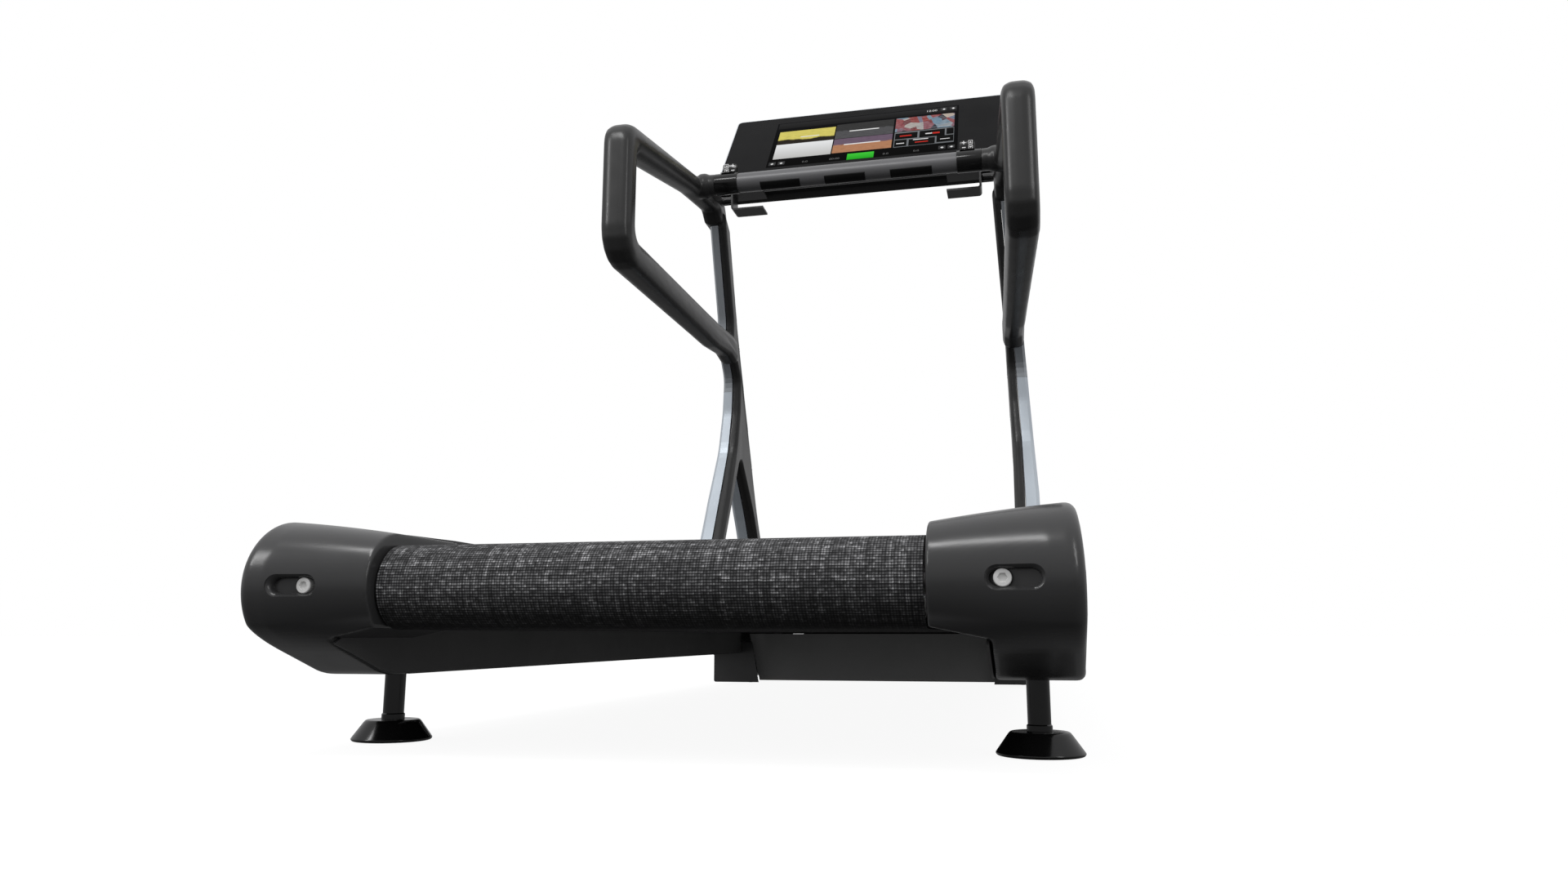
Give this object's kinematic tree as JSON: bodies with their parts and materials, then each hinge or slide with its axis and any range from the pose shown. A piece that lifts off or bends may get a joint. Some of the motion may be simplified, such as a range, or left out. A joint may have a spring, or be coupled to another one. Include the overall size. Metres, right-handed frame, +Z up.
{
  "type": "treadmill",
  "caption": "Flat-deck treadmill with looped side handles on open towers, a cross handlebar with sensors, a tilted touch console and rear levelling feet.",
  "frame": {"origin": "bottom centre of the bounding box, on the floor", "axes": "+Z up, +Y the way the runner faces (towards the console), +X the runner's right"},
  "size_m": [0.84, 2.215, 1.5141],
  "materials": {
    "moulding": "fine-grained dark grey moulding",
    "handle_soft": "satin soft-touch moulding",
    "bright_trim": "satin anodised",
    "belt_fabric": "heather woven band",
    "frame_steel": "black powder coat",
    "turned_steel": "turned",
    "deck_wood": "phenolic-faced board",
    "black_rubber": "matt",
    "gloss_black": "polished",
    "sensor_black": "satin conductive plastic",
    "grey_tube": "satin grey",
    "screen_glass": "black back-printed glass",
    "screw_steel": "zinc plated"
  },
  "bodies": {
    "chassis": {"base_pan": "moulding", "motor_hood": "moulding", "rear_cap_left": "moulding", "rear_cap_right": "moulding", "side_cover_left": "moulding", "side_cover_right": "moulding", "console_housing": "moulding", "tower_left": "handle_soft", "tower_right": "handle_soft", "console_bracket_left": "handle_soft", "console_bracket_right": "handle_soft", "tower_trim_upper_left": "bright_trim", "tower_trim_upper_right": "bright_trim", "tower_trim_lower_left": "bright_trim", "tower_trim_lower_right": "bright_trim", "console_edge": "bright_trim", "running_belt": "belt_fabric", "side_rail_left": "frame_steel", "side_rail_right": "frame_steel", "cross_member_rear": "frame_steel", "cross_member_front": "frame_steel", "rear_axle": "frame_steel", "drive_motor": "frame_steel", "lift_motor": "frame_steel", "motor_controller": "frame_steel", "display_panel": "frame_steel", "deck_board": "deck_wood", "deck_cushion_rear": "black_rubber", "deck_cushion_front": "black_rubber", "drive_belt": "black_rubber", "handlebar_collar_left": "gloss_black", "handlebar_collar_right": "gloss_black", "mains_inlet": "gloss_black", "sensor_pad_lower_left": "sensor_black", "sensor_pad_lower_middle": "sensor_black", "sensor_pad_lower_right": "sensor_black", "sensor_pad_upper_left": "sensor_black", "sensor_pad_upper_middle": "sensor_black", "sensor_pad_upper_right": "sensor_black", "handlebar_tube": "grey_tube", "console_glass": "screen_glass"},
    "front_roller": {"front_roller": "turned_steel", "front_pulley": "frame_steel"},
    "rear_roller": {"rear_roller": "turned_steel", "rear_bearing_left": "turned_steel", "rear_bearing_right": "turned_steel"},
    "motor_shaft": {"motor_shaft": "turned_steel"},
    "lift_frame": {"lift_frame": "frame_steel"},
    "lift_tube": {"lift_tube": "turned_steel"},
    "wheel_left": {"front_wheel_left": "black_rubber"},
    "wheel_right": {"front_wheel_right": "black_rubber"},
    "foot_left": {"foot_bell_left": "gloss_black", "foot_rod_left": "gloss_black"},
    "foot_right": {"foot_bell_right": "gloss_black", "foot_rod_right": "gloss_black"},
    "paddle_left": {"control_paddle_left": "gloss_black"},
    "paddle_right": {"control_paddle_right": "gloss_black"},
    "screw_left": {"tension_screw_left": "screw_steel"},
    "screw_right": {"tension_screw_right": "screw_steel"},
    "power_rocker": {"power_rocker": "gloss_black"}
  },
  "joints": [
    {"name": "front_roller_spin", "type": "hinge", "parent": "chassis", "child": "front_roller", "pos_m": [0, 0.6125, 0.171], "axis": [1, 0, 0], "continuous": true},
    {"name": "rear_roller_spin", "type": "hinge", "parent": "chassis", "child": "rear_roller", "pos_m": [0, -1.0335, 0.171], "axis": [1, 0, 0], "continuous": true},
    {"name": "motor_spin", "type": "hinge", "parent": "chassis", "child": "motor_shaft", "pos_m": [0, 0.8025, 0.171], "axis": [1, 0, 0], "continuous": true},
    {"name": "lift_swing", "type": "hinge", "parent": "chassis", "child": "lift_frame", "pos_m": [0, 0.9725, 0.06], "axis": [1, 0, 0], "range_deg": [0, 55]},
    {"name": "lift_tube_slide", "type": "slide", "parent": "chassis", "child": "lift_tube", "axis": [0, -1, 0], "range_m": [0, 0.04]},
    {"name": "wheel_left_spin", "type": "hinge", "parent": "lift_frame", "child": "wheel_left", "pos_m": [-0.347, 0.7145, 0.05], "axis": [1, 0, 0], "continuous": true},
    {"name": "foot_left_height", "type": "slide", "parent": "chassis", "child": "foot_left", "axis": [0, 0, 1], "range_m": [-0.02, 0]},
    {"name": "paddle_left_press", "type": "hinge", "parent": "chassis", "child": "paddle_left", "pos_m": [-0.275, 0.2075, 1.157], "axis": [1, 0, 0], "range_deg": [-10, 10], "stiffness_Nm_per_rad": 0.4},
    {"name": "screw_left_turn", "type": "hinge", "parent": "chassis", "child": "screw_left", "pos_m": [-0.3455, -1.0775, 0.171], "axis": [0, 1, 0], "continuous": true},
    {"name": "wheel_right_spin", "type": "hinge", "parent": "lift_frame", "child": "wheel_right", "pos_m": [0.347, 0.7145, 0.05], "axis": [1, 0, 0], "continuous": true},
    {"name": "foot_right_height", "type": "slide", "parent": "chassis", "child": "foot_right", "axis": [0, 0, 1], "range_m": [-0.02, 0]},
    {"name": "paddle_right_press", "type": "hinge", "parent": "chassis", "child": "paddle_right", "pos_m": [0.275, 0.2075, 1.157], "axis": [1, 0, 0], "range_deg": [-10, 10], "stiffness_Nm_per_rad": 0.4},
    {"name": "screw_right_turn", "type": "hinge", "parent": "chassis", "child": "screw_right", "pos_m": [0.3455, -1.0775, 0.171], "axis": [0, 1, 0], "continuous": true},
    {"name": "power_rocker_press", "type": "hinge", "parent": "chassis", "child": "power_rocker", "pos_m": [0.232, 1.0975, 0.053], "axis": [1, 0, 0], "range_deg": [-6, 6], "stiffness_Nm_per_rad": 0.2}
  ],
  "couplings": [
    {"joint": "rear_roller_spin", "follows": "front_roller_spin", "ratio": 1},
    {"joint": "motor_spin", "follows": "front_roller_spin", "ratio": 1.8},
    {"joint": "lift_tube_slide", "follows": "lift_swing", "m_per_rad": 0.04}
  ]
}
